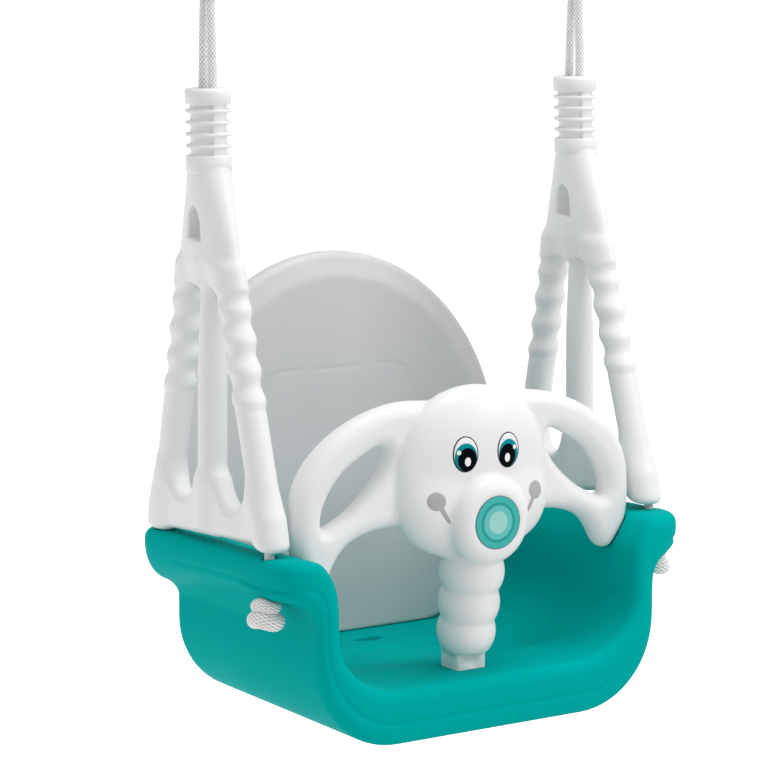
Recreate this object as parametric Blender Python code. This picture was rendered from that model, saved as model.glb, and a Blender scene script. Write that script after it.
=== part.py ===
"""A toddler's hanging bucket seat: a hollow moulded seat with rolled arms, a backrest, a front guard
shaped like an elephant, and two hangers that a rope runs through, up to a snap hook on each side.

Metres, +Z up, +X to the seated child's left, -Y to the front. The origin is the middle of the line
that the whole seat swings about, between the two snap hooks.
"""

import math

import bmesh
import bpy
from mathutils import Vector

GAP = 0.0003
WALL = 0.0025

# Rope and the line it hangs from
ROPE_R = 0.004
ROPE_X = 0.195
LOOP_R = 0.0178
LOOP_Z = -0.0049
CLAMP_LOW = -0.057
CLAMP_HIGH = -0.043

# Hangers
NECK_TOP = -0.133
NECK_R = 0.020
GROOVE_R = 0.0158
BORE_R = 0.0128
LEAN_Y = 0.0045
LEAN_X = 0.0105
LEG_R = 0.0132
LEG_BORE_R = 0.0090
BUMP = 0.0014
BUMP_TOP = -0.3175
BUMP_PITCH = 0.0253
BUMPS = 4
SHOULDER = -0.2045
BODY_END = -0.296
BOSS_END = -0.5160
FRONT_HOLE = (0.203, -0.110)
REAR_HOLE = (0.199, 0.0765)
ROPE_HOLE_R = 0.0062

# Seat
FRONT = -0.155
REAR = 0.108
FLOOR = -0.6495
INNER_BEND = 0.058
OUTER_BEND = 0.076
ARM_REACH = 0.2175
ARM_LEVEL = -0.5245
ARM_RISE = 0.034

# Backrest
BACK_FOOT_Y = 0.083
BACK_LEAN = 0.07
BACK_THICK = 0.024
BACK_HALF = 0.183
BACK_NARROW = 0.1485
BACK_DOME = 0.200
BACK_DOME_Z = -0.495

# Guard
GUARD_Y = -0.102
EAR_HALF = 0.014
HEAD = Vector((0, -0.114, -0.4675))
HEAD_R = Vector((0.0757, 0.028, 0.0755))
MUZZLE_Z = -0.506
MUZZLE_R = 0.037
MUZZLE_FACE = -0.156
NOSE_R = 0.0228
FOOT_Y = -0.104
FOOT_END = -0.668


# ---------------------------------------------------------------- helpers


def clear_scene():
    for thing in list(bpy.data.objects):
        bpy.data.objects.remove(thing)


def material(name, colour, roughness, metallic=0.0):
    made = bpy.data.materials.new(name)
    made.use_nodes = True
    shader = made.node_tree.nodes["Principled BSDF"]
    shader.inputs["Base Color"].default_value = (*colour, 1)
    shader.inputs["Roughness"].default_value = roughness
    shader.inputs["Metallic"].default_value = metallic
    return made


def finish(thing, finish_material, parent=None):
    thing.data.materials.clear()
    thing.data.materials.append(finish_material)
    if thing.type == "MESH":
        thing.data.shade_smooth()
        thing.data.set_sharp_from_angle(angle=math.radians(40))
    thing.parent = parent
    return thing


def empty_at(name, place):
    made = bpy.data.objects.new(name, None)
    made.location = place
    bpy.context.collection.objects.link(made)
    bpy.context.view_layer.update()
    return made


def from_bmesh(name, made):
    bmesh.ops.recalc_face_normals(made, faces=made.faces)
    mesh = bpy.data.meshes.new(name)
    made.to_mesh(mesh)
    made.free()
    thing = bpy.data.objects.new(name, mesh)
    bpy.context.collection.objects.link(thing)
    return thing


def loft(name, rings):
    """A closed solid through rings of equal length, capped at both ends."""
    made = bmesh.new()
    rows = [[made.verts.new(point) for point in ring] for ring in rings]
    count = len(rows[0])
    for low, high in zip(rows, rows[1:]):
        for i in range(count):
            j = (i + 1) % count
            made.faces.new((low[i], low[j], high[j], high[i]))
    made.faces.new(rows[0])
    made.faces.new(list(reversed(rows[-1])))
    return from_bmesh(name, made)


def ellipse(centre_x, centre_y, z, radius_x, radius_y, sides):
    turns = [2 * math.pi * i / sides for i in range(sides)]
    return [
        (centre_x + radius_x * math.cos(t), centre_y + radius_y * math.sin(t), z)
        for t in turns
    ]


def box(name, low, high):
    (x0, y0, z0), (x1, y1, z1) = low, high
    ring = [(x0, y0), (x1, y0), (x1, y1), (x0, y1)]
    return loft(name, [[(x, y, z) for x, y in ring] for z in (z0, z1)])


def drum(name, centre, radius, low, high, sides=20):
    """An upright cylinder."""
    return loft(name, [ellipse(*centre, z, radius, radius, sides) for z in (low, high)])


def ball(name, centre, radii, columns=20, rows=12):
    made = bmesh.new()
    bmesh.ops.create_uvsphere(made, u_segments=columns, v_segments=rows, radius=1)
    for vert in made.verts:
        vert.co = Vector(c + r * v for c, r, v in zip(centre, radii, vert.co))
    return from_bmesh(name, made)


def combine(target, tools, operation):
    """Joins or cuts the target's mesh with each tool in turn, and removes the tools."""
    for tool in tools:
        step = target.modifiers.new(operation, "BOOLEAN")
        step.operation = operation
        step.object = tool
    bpy.context.view_layer.update()
    graph = bpy.context.evaluated_depsgraph_get()
    mesh = bpy.data.meshes.new_from_object(target.evaluated_get(graph))
    target.modifiers.clear()
    target.data = mesh
    for tool in tools:
        bpy.data.objects.remove(tool)
    return target


def inset(outline, depth):
    """The closed outline moved inwards by depth, for an outline that runs anticlockwise."""
    moved = []
    for i, (x, z) in enumerate(outline):
        before = Vector(outline[i]) - Vector(outline[i - 1])
        after = Vector(outline[(i + 1) % len(outline)]) - Vector((x, z))
        normal = Vector((-before.y, before.x)).normalized()
        normal += Vector((-after.y, after.x)).normalized()
        normal.normalize()
        slope = max(0.5, normal.dot(Vector((-after.y, after.x)).normalized()))
        moved.append((x + normal.x * depth / slope, z + normal.y * depth / slope))
    return moved


def arc(centre, radius, start, end, steps):
    """Points of an arc, with angles in degrees."""
    turns = [math.radians(start + (end - start) * i / steps) for i in range(steps + 1)]
    return [(centre[0] + radius * math.cos(t), centre[1] + radius * math.sin(t)) for t in turns]


def slab(name, outline, y_low, y_high, edge=0.0):
    """An XZ outline extruded along Y, its rim rounded back by edge."""
    stations = [(y_low, edge), (y_low + edge, 0), (y_high - edge, 0), (y_high, edge)]
    if not edge:
        stations = [(y_low, 0), (y_high, 0)]
    return loft(name, [[(x, y, z) for x, z in inset(outline, d)] for y, d in stations])


def smooth_route(points, spacing):
    """Points about spacing apart on a smooth curve through the given ones."""
    route = [Vector(p) for p in points]
    route = [2 * route[0] - route[1]] + route + [2 * route[-1] - route[-2]]
    made = []
    for a, b, c, d in zip(route, route[1:], route[2:], route[3:]):
        steps = max(1, round((c - b).length / spacing))
        for k in range(steps):
            t = k / steps
            made.append(
                b
                + (c - a) * (t / 2)
                + (2 * a - 5 * b + 4 * c - d) * (t * t / 2)
                + (3 * b - a - 3 * c + d) * (t**3 / 2)
            )
    return made + [route[-2]]


# ---------------------------------------------------------------- seat


def arm_top(y):
    return ARM_LEVEL - ARM_RISE * y


def seat_section(y):
    """The seat's outline across the seat at depth y, anticlockwise, with both rolled arms."""
    forward = (REAR - y) / (REAR - FRONT)
    outer = 0.171 + 0.0075 * forward
    inner = 0.152 + 0.004 * forward
    bottom = -0.6905
    top = arm_top(y)
    roll = ARM_REACH - outer
    if y < FRONT + 0.040:
        roll = 0.009 + (roll - 0.009) * math.sqrt(max(0, 1 - ((FRONT + 0.040 - y) / 0.040) ** 2))
    if y > REAR - 0.028:
        roll = 0.012 + (roll - 0.012) * math.sqrt(max(0, 1 - ((y - REAR + 0.028) / 0.028) ** 2))
    half = [(0.0, bottom)]
    half += arc((outer - OUTER_BEND, bottom + OUTER_BEND), OUTER_BEND, -90, 0, 6)
    rolled = (
        (0.0, 0.0645),
        (0.10, 0.0545),
        (0.35, 0.0485),
        (0.68, 0.0425),
        (0.90, 0.034),
        (1.0, 0.022),
        (0.97, 0.0115),
        (0.85, 0.004),
        (0.62, 0.0),
    )
    for share, drop in rolled:
        slim = 1 - 0.35 * forward if share else 1
        half.append((outer + share * roll, top - drop * slim))
    lip = ((0.0225, 0.0004), (0.0165, 0.003), (0.0085, 0.0105), (0.0035, 0.0215), (0.0008, 0.038))
    half += [(inner + out, top - drop) for out, drop in lip]
    bend_centre = (inner - INNER_BEND, FLOOR + INNER_BEND)
    half += arc(bend_centre, INNER_BEND, 0, -90, 5)
    half.append((0.0, FLOOR))
    return half + [(-x, z) for x, z in reversed(half[1:-1])]


def seat_solid():
    nose, heel = 0.003, 0.003
    stations = [(FRONT + nose * (1 - math.cos(t)), nose * (1 - math.sin(t)))
                for t in map(math.radians, (0, 30, 60, 90))]
    stations += [(FRONT + d, 0) for d in (0.012, 0.024, 0.040, 0.110, 0.170, 0.225, 0.241)]
    stations += [(REAR - 0.012, 0), (REAR - heel, 0)]
    stations += [(REAR - heel * (1 - math.sin(t)), heel * (1 - math.cos(t)))
                 for t in map(math.radians, (35, 65, 90))]
    rings = []
    for y, depth in stations:
        rings.append([(x, y, z) for x, z in inset(seat_section(y), depth)])
    return loft("seat_shell", rings)


def seat_cavity():
    rings = []
    for y in (FRONT + 0.010, FRONT + 0.030, FRONT + 0.055, 0.0, REAR - 0.022, REAR - 0.008):
        rings.append([(x, y, z) for x, z in inset(seat_section(y), WALL)])
    return loft("seat_cavity", rings)


def seat_pockets(grow):
    """What the seat's moulding is sunk in for: the guard's ends and foot, and the backrest's tabs."""
    pockets = []
    for side in (-1, 1):
        low, high = sorted((side * (0.1395 - grow), side * (0.1795 + grow)))
        pockets.append(
            box(
                "tab_pocket",
                (low, GUARD_Y - EAR_HALF - 0.001 - grow, -0.5580 - grow),
                (high, GUARD_Y + EAR_HALF + 0.001 + grow, -0.48),
            )
        )
        pockets.append(
            box(
                "back_slot",
                (side * 0.070 - 0.021 - grow, BACK_FOOT_Y + 0.005 - grow, -0.669 - grow),
                (side * 0.070 + 0.021 + grow, BACK_FOOT_Y + 0.018 + grow, -0.640),
            )
        )
        pockets.append(drum("rope_way", (side * FRONT_HOLE[0], FRONT_HOLE[1]),
                            ROPE_HOLE_R + grow, -0.60, -0.50))
    pockets.append(
        box(
            "foot_pocket",
            (-0.0157 - grow, FOOT_Y - 0.0147 - grow, FOOT_END - 0.0015 - grow),
            (0.0157 + grow, FOOT_Y + 0.0147 + grow, -0.62),
        )
    )
    pockets.append(drum("drain", (0, 0.040), 0.013 + grow, FLOOR - 0.006 - grow, FLOOR + 0.01, 24))
    return pockets


def make_seat(plastic, parent):
    cavity = combine(seat_cavity(), seat_pockets(WALL), "DIFFERENCE")
    shell = combine(seat_solid(), [cavity], "DIFFERENCE")
    cutters = seat_pockets(0)
    for side in (-1, 1):
        cutters.append(drum("rear_rope_way", (side * REAR_HOLE[0], REAR_HOLE[1]),
                            ROPE_HOLE_R, -0.545, -0.50))
    combine(shell, cutters, "DIFFERENCE")
    return finish(shell, plastic, parent)


# ---------------------------------------------------------------- backrest


def back_outline():
    """The backrest seen from the front, anticlockwise in XZ: a dome over two shoulders."""
    dome = []
    for step in range(15):
        turn = math.pi * step / 14
        dome.append((BACK_HALF * math.cos(turn), BACK_DOME_Z + BACK_DOME * math.sin(turn)))
    right = [(0.090, -0.6487), (0.134, -0.618), (BACK_NARROW, -0.538)]
    right += [(BACK_NARROW + 0.008, -0.5250), (BACK_HALF - 0.008, -0.5250), (BACK_HALF, -0.5170)]
    left = [(-x, z) for x, z in reversed(right)]
    return right + dome + left


def leaned(thing):
    """Tips an upright slab back by the backrest's lean, about its foot."""
    for vert in thing.data.vertices:
        vert.co.y += BACK_LEAN * (vert.co.z + 0.648)
    return thing


def make_backrest(plastic, parent):
    front = BACK_FOOT_Y
    rear = front + BACK_THICK
    outline = back_outline()
    back = leaned(slab("backrest", outline, front, rear, 0.006))
    panel = [(0.095, -0.600), (0.126, -0.545)]
    for step in range(15):
        turn = math.pi * step / 14
        across, up = BACK_HALF - 0.020, BACK_DOME - 0.020
        panel.append((across * math.cos(turn), BACK_DOME_Z + up * math.sin(turn)))
    panel += [(-0.126, -0.545), (-0.095, -0.600)]
    dish = leaned(slab("dish", panel, front - 0.02, front + 0.005))
    hollow = inset(outline, 0.0065)
    cavity = leaned(slab("cavity", hollow, front + 0.005 + WALL, rear - WALL))
    vent = drum("vent", (0, rear - 0.012), 0.004, -0.66, -0.62, 12)
    tabs = []
    for side in (-1, 1):
        tabs.append(
            box(
                "tab",
                (side * 0.070 - 0.020, front + 0.006, -0.667),
                (side * 0.070 + 0.020, front + 0.017, -0.646),
            )
        )
    combine(back, tabs, "UNION")
    combine(back, [dish, cavity, vent], "DIFFERENCE")
    return finish(back, plastic, parent)


# ---------------------------------------------------------------- guard


def ear_outline():
    """The right ear, from the head out and round the handle to the end that drops into the arm."""
    lower = [(0.040, -0.500), (0.060, -0.5115), (0.085, -0.511), (0.107, -0.514), (0.124, -0.521)]
    lower += [(0.1355, -0.533), (0.142, -0.545), (0.144, -0.5535), (0.167, -0.5535)]
    upper = [(0.1755, -0.540), (0.1775, -0.512), (0.1775, -0.493), (0.1755, -0.474)]
    upper += [(0.169, -0.457), (0.156, -0.441), (0.138, -0.426), (0.116, -0.414)]
    upper += [(0.092, -0.407), (0.065, -0.403), (0.035, -0.404), (0.020, -0.430)]
    return lower + upper


def ear_hole():
    upper = [(0.1505, -0.499), (0.148, -0.486), (0.139, -0.470), (0.126, -0.456)]
    upper += [(0.108, -0.445), (0.094, -0.4395), (0.088, -0.4415), (0.088, -0.450)]
    lower = [(0.094, -0.464), (0.105, -0.479), (0.120, -0.491), (0.134, -0.499), (0.146, -0.5045)]
    return upper + lower


def mirrored(outline, side):
    """The outline for one side, kept anticlockwise."""
    return outline if side > 0 else [(-x, z) for x, z in reversed(outline)]


def trunk_rings(thin):
    """The trunk's three bulges, tipped back towards its foot."""
    profile = (
        (-0.530, 0.0250),
        (-0.5445, 0.0255),
        (-0.550, 0.0272),
        (-0.557, 0.0280),
        (-0.5650, 0.0268),
        (-0.5710, 0.0236),
        (-0.5770, 0.0258),
        (-0.5845, 0.0268),
        (-0.5925, 0.0256),
        (-0.5980, 0.0226),
        (-0.6040, 0.0246),
        (-0.6120, 0.0255),
        (-0.6200, 0.0236),
        (-0.6265, 0.0180),
    )
    rings = []
    for z, radius in profile:
        y = -0.117 + (FOOT_Y + 0.117) * (-0.557 - z) / 0.083
        rings.append(ellipse(0, y, z, radius - thin, radius - thin, 16))
    return rings


def muzzle(thin):
    """The round end of the snout, turned about a line along Y."""
    profile = ((-0.100, 0.030), (-0.126, 0.034), (-0.136, MUZZLE_R), (-0.1445, MUZZLE_R - 0.001))
    profile += ((-0.151, 0.0335), (-0.155, 0.028), (MUZZLE_FACE, 0.0245))
    rings = []
    for y, radius in profile:
        around = ellipse(0, MUZZLE_Z, 0, radius - thin, radius - thin, 20)
        rings.append([(x, max(y, MUZZLE_FACE + thin), z) for x, z, _ in around])
    return rings


def guard_pieces(thin):
    """The guard's blended shapes, each shrunk by thin."""
    pieces = [ball("head", HEAD, HEAD_R - Vector((thin, thin, thin)))]
    rings = muzzle(thin)
    pieces.append(loft("muzzle", rings if not thin else rings[:-1]))
    pieces.append(loft("trunk", trunk_rings(thin)))
    pieces.append(
        box(
            "foot",
            (-0.0147 + thin, FOOT_Y - 0.0137 + thin, FOOT_END + thin),
            (0.0147 - thin, FOOT_Y + 0.0137 - thin, -0.6150),
        )
    )
    for side in (-1, 1):
        outline = inset(mirrored(ear_outline(), side), thin)
        ear = slab("ear", outline, GUARD_Y - EAR_HALF + thin, GUARD_Y + EAR_HALF - thin, 0.005)
        opening = inset(mirrored(ear_hole(), side), -thin)
        hole = slab("hole", opening, GUARD_Y - 0.03, GUARD_Y + 0.03)
        pieces.append(combine(ear, [hole], "DIFFERENCE"))
    return pieces


def make_guard(plastic, parent):
    cavity = guard_pieces(WALL)
    hollow = combine(cavity[0], cavity[1:], "UNION")
    shapes = guard_pieces(0)
    guard = combine(shapes[0], shapes[1:], "UNION")
    guard.name = "front_guard"
    vent = drum("vent", (0, FOOT_Y), 0.003, FOOT_END - 0.01, FOOT_END + 0.01, 12)
    seat_for_disc = loft(
        "disc_seat",
        [
            [(x, y, z) for x, z, _ in ellipse(0, MUZZLE_Z, 0, NOSE_R + GAP, NOSE_R + GAP, 28)]
            for y in (MUZZLE_FACE - 0.01, MUZZLE_FACE + 0.0012)
        ],
    )
    combine(guard, [hollow, vent, seat_for_disc], "DIFFERENCE")
    return finish(guard, plastic, parent)


def make_nose_disc(plastic, parent):
    rings = []
    for y, radius in (
        (MUZZLE_FACE + 0.0012 - GAP, NOSE_R),
        (MUZZLE_FACE - 0.0006, NOSE_R),
        (MUZZLE_FACE - 0.0014, NOSE_R - 0.0008),
    ):
        around = ellipse(0, MUZZLE_Z, 0, radius, radius, 28)
        rings.append([(x, y, z) for x, z, _ in around])
    return finish(loft("nose_disc", rings), plastic, parent)


def make_face_mark(name, outlines, finish_material, parent):
    """A thin piece that follows the curve of the head, cut out by prisms along Y."""
    grow = Vector((1, 1, 1))
    skin = ball(name, HEAD, HEAD_R + grow * 0.0013, 48, 28)
    under = ball("under", HEAD, HEAD_R + grow * GAP, 48, 28)
    combine(skin, [under], "DIFFERENCE")
    prisms = [slab("prism", outline, HEAD.y - 0.05, HEAD.y - 0.004) for outline in outlines]
    cutter = combine(prisms[0], prisms[1:], "UNION") if len(prisms) > 1 else prisms[0]
    combine(skin, [cutter], "INTERSECT")
    return finish(skin, finish_material, parent)


def eye_outline(side):
    centre = Vector((side * 0.0222, -0.4465))
    turns = [2 * math.pi * i / 22 for i in range(22)]
    return [(centre.x + 0.0122 * math.cos(t), centre.y + 0.0165 * math.sin(t)) for t in turns]


def smile_outlines(side):
    """A round dimple and the short line that runs from it towards the snout."""
    centre = Vector((side * 0.0515, -0.4905))
    end = Vector((side * 0.0400, -0.5090))
    turns = [2 * math.pi * i / 16 for i in range(16)]
    dot = [(centre.x + 0.0074 * math.cos(t), centre.y + 0.0072 * math.sin(t)) for t in turns]
    along = (end - centre).normalized()
    across = Vector((-along.y, along.x)) * 0.0018
    line = [centre + across, centre - across, end - across, end + across]
    if (line[1] - line[0]).cross(line[2] - line[1]) < 0:
        line.reverse()
    return [dot, [tuple(p) for p in line]]


# ---------------------------------------------------------------- hangers


def hanger_axis(z):
    """(x, y) of the hanger's middle line at height z, for the hanger on the +X side."""
    down = NECK_TOP - z
    return ROPE_X + LEAN_X * down, -LEAN_Y * min(1, down / 0.127)


def front_leg(z):
    x, y = hanger_axis(z)
    return x, y - 0.021 - 0.321 * (-0.255 - z)


def middle_strut(z):
    x, y = hanger_axis(z)
    return x, y - 0.004


def rear_leg(z):
    x, y = hanger_axis(z)
    return x, y + 0.0302 + 0.2055 * (-0.282 - z)


def leg_levels():
    """Heights and radii down a leg, with its row of rings."""
    levels = [(-0.215, LEG_R - 0.002), (-0.270, LEG_R)]
    for bump in range(BUMPS):
        peak = BUMP_TOP - bump * BUMP_PITCH
        levels.append((peak + BUMP_PITCH / 2, LEG_R - BUMP))
        levels.append((peak, LEG_R + BUMP))
    levels.append((BUMP_TOP - (BUMPS - 0.5) * BUMP_PITCH, LEG_R - BUMP))
    levels.append((BUMP_TOP - (BUMPS + 0.1) * BUMP_PITCH, LEG_R))
    return levels


def leg(name, line, levels, side, sides=10):
    rings = []
    for z, radius in levels:
        x, y = line(z)
        rings.append(ellipse(side * x, y, z, min(radius, 0.0128), radius, sides))
    return loft(name, rings)


def hanger_foot(side):
    """The web that joins the three struts at the bottom, with a rounded notch under each window."""
    rear, front = rear_leg(-0.44)[1], front_leg(-0.44)[1]
    middle = hanger_axis(-0.46)[1]
    outline = [(front_leg(-0.5)[1] - 0.010, -0.5090), (rear_leg(-0.5)[1] + 0.013, -0.5250)]
    outline += [(rear_leg(-0.5)[1] + 0.012, -0.505), (rear, -0.440)]
    for low, high in ((rear, middle), (middle, front)):
        centre = (low + high) / 2
        width = abs(high - low) / 2
        for share, z in ((0.62, -0.455), (0.42, -0.474), (0.2, -0.487), (0, -0.4915)):
            outline.append((centre + share * width, z))
        for share, z in ((0.2, -0.487), (0.42, -0.474), (0.62, -0.455)):
            outline.append((centre - share * width, z))
        outline.append((high, -0.440))
    rings = []
    for out in (-0.0112, 0.0112):
        rings.append([(side * (hanger_axis(z)[0] + out), y, z) for y, z in outline])
    return loft("hanger_foot", rings)


def neck_profile():
    """Radii and heights of the turned neck: a collar, four thin rings and a shoulder."""
    top = NECK_TOP
    profile = [(0.0165, top), (NECK_R - 0.0008, top - 0.0022), (NECK_R, top - 0.012)]
    profile += [(NECK_R - 0.0012, top - 0.0138), (GROOVE_R, top - 0.0155)]
    for ring in range(4):
        level = top - 0.0195 - 0.0100 * ring
        profile += [(GROOVE_R, level + 0.0024), (NECK_R - 0.0002, level + 0.0010)]
        profile += [(NECK_R - 0.0002, level - 0.0010), (GROOVE_R, level - 0.0024)]
    profile += [(GROOVE_R, -0.1885), (NECK_R, -0.1900), (NECK_R, -0.2000), (0.0185, SHOULDER)]
    return profile


def hanger_body(side):
    """The flattened cone from the neck down to where the three struts part."""
    sections = ((-0.200, 0.0178, 0.0182), (-0.215, 0.0172, 0.0205), (-0.240, 0.0158, 0.030))
    sections += ((-0.265, 0.0146, 0.0395), (-0.285, 0.0136, 0.0455), (BODY_END, 0.0110, 0.0465))
    rings = []
    for z, radius_x, radius_y in sections:
        x, y = hanger_axis(z)
        rings.append(ellipse(side * x, y + 0.001, z, radius_x, radius_y, 20))
    return loft("hanger_body", rings)


def small_window(side):
    """The arched opening between the two rope ways in the body."""
    x, y = hanger_axis(-0.248)
    outline = [(y - 0.0105, -0.2610), (y + 0.0105, -0.2610), (y + 0.0085, -0.2460)]
    outline += [(y + 0.0055, -0.2365), (y, -0.2325), (y - 0.0055, -0.2365), (y - 0.0085, -0.2460)]
    return loft("window", [[(side * (x + out), a, z) for a, z in outline] for out in (-0.03, 0.03)])


def make_hanger(name, side, plastic, parent):
    rings = []
    for radius, z in neck_profile():
        x, y = hanger_axis(z)
        rings.append(ellipse(side * x, y, z, radius, radius, 18))
    hanger = loft(name, rings)
    shapes = [hanger_body(side)]
    front_levels = leg_levels() + [(-0.470, LEG_R), (-0.500, 0.0128), (BOSS_END, 0.0122)]
    rear_levels = leg_levels() + [(-0.470, LEG_R), (-0.500, 0.0128), (-0.5242, 0.0125)]
    shapes.append(leg("front_leg", front_leg, front_levels, side))
    shapes.append(leg("rear_leg", rear_leg, rear_levels, side))
    strut = [(-0.270, 0.0105), (-0.310, 0.0118), (-0.350, 0.0126), (-0.470, 0.0128), (-0.505, 0.0118)]
    shapes.append(leg("middle_strut", middle_strut, strut, side))
    shapes.append(hanger_foot(side))
    combine(hanger, shapes, "UNION")
    cutters = [small_window(side)]
    bore = ((NECK_TOP + 0.01, BORE_R), (-0.190, BORE_R), (-0.208, 0.0115))
    way = []
    for z, radius in bore:
        x, y = hanger_axis(z)
        way.append(ellipse(side * x, y, z, radius, radius, 16))
    cutters.append(loft("neck_bore", way))
    for line, low in ((front_leg, -0.53), (rear_leg, -0.54)):
        levels = [(z, LEG_BORE_R) for z in (-0.193, -0.215, -0.260, -0.300, low)]
        cutters.append(leg("leg_bore", line, levels, side, 8))
    combine(hanger, cutters, "DIFFERENCE")
    return finish(hanger, plastic, parent)


# ---------------------------------------------------------------- ropes and knots


def rope_points(side):
    """The rope's own points, from the front knot up through the front leg, round the thimble,
    and down through the rear leg to the knot inside the arm."""
    points = [(0.2036, FRONT_HOLE[1], -0.5560), (0.2032, FRONT_HOLE[1], -0.5400)]
    points += [(0.2022, -0.1093, -0.5200), (0.1997, -0.1075, -0.5020)]
    for z in (-0.470, -0.410, -0.350, -0.290, -0.240):
        points.append((*front_leg(z), z))
    points += [(0.1957, -0.0096, -0.195), (0.1952, -0.0089, -0.160), (ROPE_X, -0.0080, NECK_TOP)]
    points += [(ROPE_X, -0.0066, -0.090), (ROPE_X, -0.0050, -0.060), (ROPE_X, -0.00445, -0.040)]
    for degrees in (210, 180, 150, 120, 90, 60, 30, 0, -30):
        turn = math.radians(degrees)
        y, z = LOOP_R * math.cos(turn), LOOP_Z + LOOP_R * math.sin(turn)
        points.append((ROPE_X, y, z))
    points += [(ROPE_X, 0.00445, -0.040), (ROPE_X, 0.0050, -0.060), (ROPE_X, 0.0066, -0.090)]
    points += [(ROPE_X, 0.0080, NECK_TOP), (0.1952, 0.0065, -0.160), (0.1957, 0.0056, -0.195)]
    for z in (-0.240, -0.290, -0.350, -0.410, -0.470):
        points.append((*rear_leg(z), z))
    points += [(0.199, 0.0768, -0.512), (REAR_HOLE[0], REAR_HOLE[1], -0.5340)]
    return [(side * x, y, z) for x, y, z in points]


def make_rope(name, side, fibre, parent):
    curve = bpy.data.curves.new(name, "CURVE")
    curve.dimensions = "3D"
    curve.bevel_depth = ROPE_R
    curve.bevel_resolution = 2
    curve.use_fill_caps = True
    line = smooth_route(rope_points(side), 0.018)
    spline = curve.splines.new("POLY")
    spline.points.add(len(line) - 1)
    for point, place in zip(spline.points, line):
        point.co = (*place, 1)
    rope = bpy.data.objects.new(name, curve)
    bpy.context.collection.objects.link(rope)
    return finish(rope, fibre, parent)


def make_knot(name, place, radii, fibre, parent):
    """A stopper knot's outer shape."""
    return finish(ball(name, place, radii, 14, 8), fibre, parent)


def make_thimble(name, side, plastic, parent):
    """The grooved eye that the rope's top bight lies round, turned about a line along X."""
    half, rim, hole = 0.0045, 0.0155, 0.0105
    groove = arc((0, LOOP_R), ROPE_R + 0.0011, -150, -30, 5)
    outer = [(-half, rim)] + [p for p in groove if p[1] < rim] + [(half, rim)]
    profile = [(half, hole + 0.0008), (half - 0.0008, hole), (-half + 0.0008, hole)]
    profile += [(-half, hole + 0.0008)] + outer
    made = bmesh.new()
    steps = 16
    rows = []
    for step in range(steps):
        turn = 2 * math.pi * step / steps
        rows.append([
            made.verts.new((side * ROPE_X + x, r * math.cos(turn), LOOP_Z + r * math.sin(turn)))
            for x, r in profile
        ])
    for step in range(steps):
        here, there = rows[step], rows[(step + 1) % steps]
        for i in range(len(profile)):
            j = (i + 1) % len(profile)
            made.faces.new((here[i], here[j], there[j], there[i]))
    return finish(from_bmesh(name, made), plastic, parent)


def stadium(half_length, radius, steps=6):
    """A slot's outline in XY, anticlockwise, with its length along Y."""
    return arc((0, half_length), radius, 0, 180, steps) + arc((0, -half_length), radius, 180, 360, steps)


def make_clamp(name, side, metal, parent):
    """The sleeve that holds the two strands together under the thimble."""
    def tube(outline, low, high):
        return [[(side * ROPE_X + x, y, z) for x, y in outline] for z in (low, high)]

    sleeve = loft(name, tube(stadium(0.0047, 0.0064), CLAMP_LOW, CLAMP_HIGH))
    way = loft("way", tube(stadium(0.0052, ROPE_R + GAP), CLAMP_LOW - 0.01, CLAMP_HIGH + 0.01))
    return finish(combine(sleeve, [way], "DIFFERENCE"), metal, parent)


# ---------------------------------------------------------------- snap hooks


WIRE_R = 0.004
HOOK_R = 0.013
HOOK_TOP = 0.062
GATE_LOW = 0.0210
GATE_HIGH = 0.0560
GATE_R = 0.0038
PIN_R = 0.0013
TANG = 0.0016


def hook_route():
    """The bent wire in XZ, from the gate's pin down round the bottom, up the spine and over."""
    route = [(-HOOK_R, 0.0158)]
    route += arc((0, HOOK_R), HOOK_R, 180, 360, 8)
    route += [(HOOK_R, 0.030), (HOOK_R, 0.046)]
    route += arc((0, HOOK_TOP), HOOK_R, 0, 180, 8)
    route.append((-HOOK_R, GATE_HIGH + 0.0006))
    return route


def make_hook(name, side, metal, parent):
    rings = []
    route = [Vector(p) for p in hook_route()]
    for i, place in enumerate(route):
        along = (route[min(i + 1, len(route) - 1)] - route[max(i - 1, 0)]).normalized()
        out = Vector((along.y, -along.x))
        ring = []
        for k in range(8):
            turn = 2 * math.pi * k / 8
            flat = place + out * (WIRE_R * math.cos(turn))
            ring.append((side * (ROPE_X + flat.x), WIRE_R * math.sin(turn), flat.y))
        rings.append(ring)
    hook = loft(name, rings)
    x = side * (ROPE_X - HOOK_R)
    tang = box("tang", (x - 0.0026, -TANG, 0.012), (x + 0.0026, TANG, GATE_LOW + 0.0030))
    combine(hook, [tang], "UNION")
    bore = lying_drum("bore", x, GATE_LOW, PIN_R + GAP, 0.01)
    combine(hook, [bore], "DIFFERENCE")
    return finish(hook, metal, parent)


def lying_drum(name, x, z, radius, half, sides=14):
    """A cylinder along Y."""
    around = ellipse(x, z, 0, radius, radius, sides)
    return loft(name, [[(a, y, b) for a, b, _ in around] for y in (-half, half)])


def make_gate(name, side, metal, parent):
    x = side * (ROPE_X - HOOK_R)
    gate = drum(name, (x, 0), GATE_R, GATE_LOW - 0.0025, GATE_HIGH, 14)
    slot = box(
        "slot",
        (x - 0.006, -TANG - GAP, GATE_LOW - 0.01),
        (x + 0.006, TANG + GAP, GATE_LOW + 0.0060),
    )
    bore = lying_drum("bore", x, GATE_LOW, PIN_R + GAP, 0.01)
    combine(gate, [slot, bore], "DIFFERENCE")
    return finish(gate, metal, parent)


def make_pin(name, side, metal, parent):
    x = side * (ROPE_X - HOOK_R)
    return finish(lying_drum(name, x, GATE_LOW, PIN_R, GATE_R - 0.0002), metal, parent)


# ---------------------------------------------------------------- the whole swing


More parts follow.
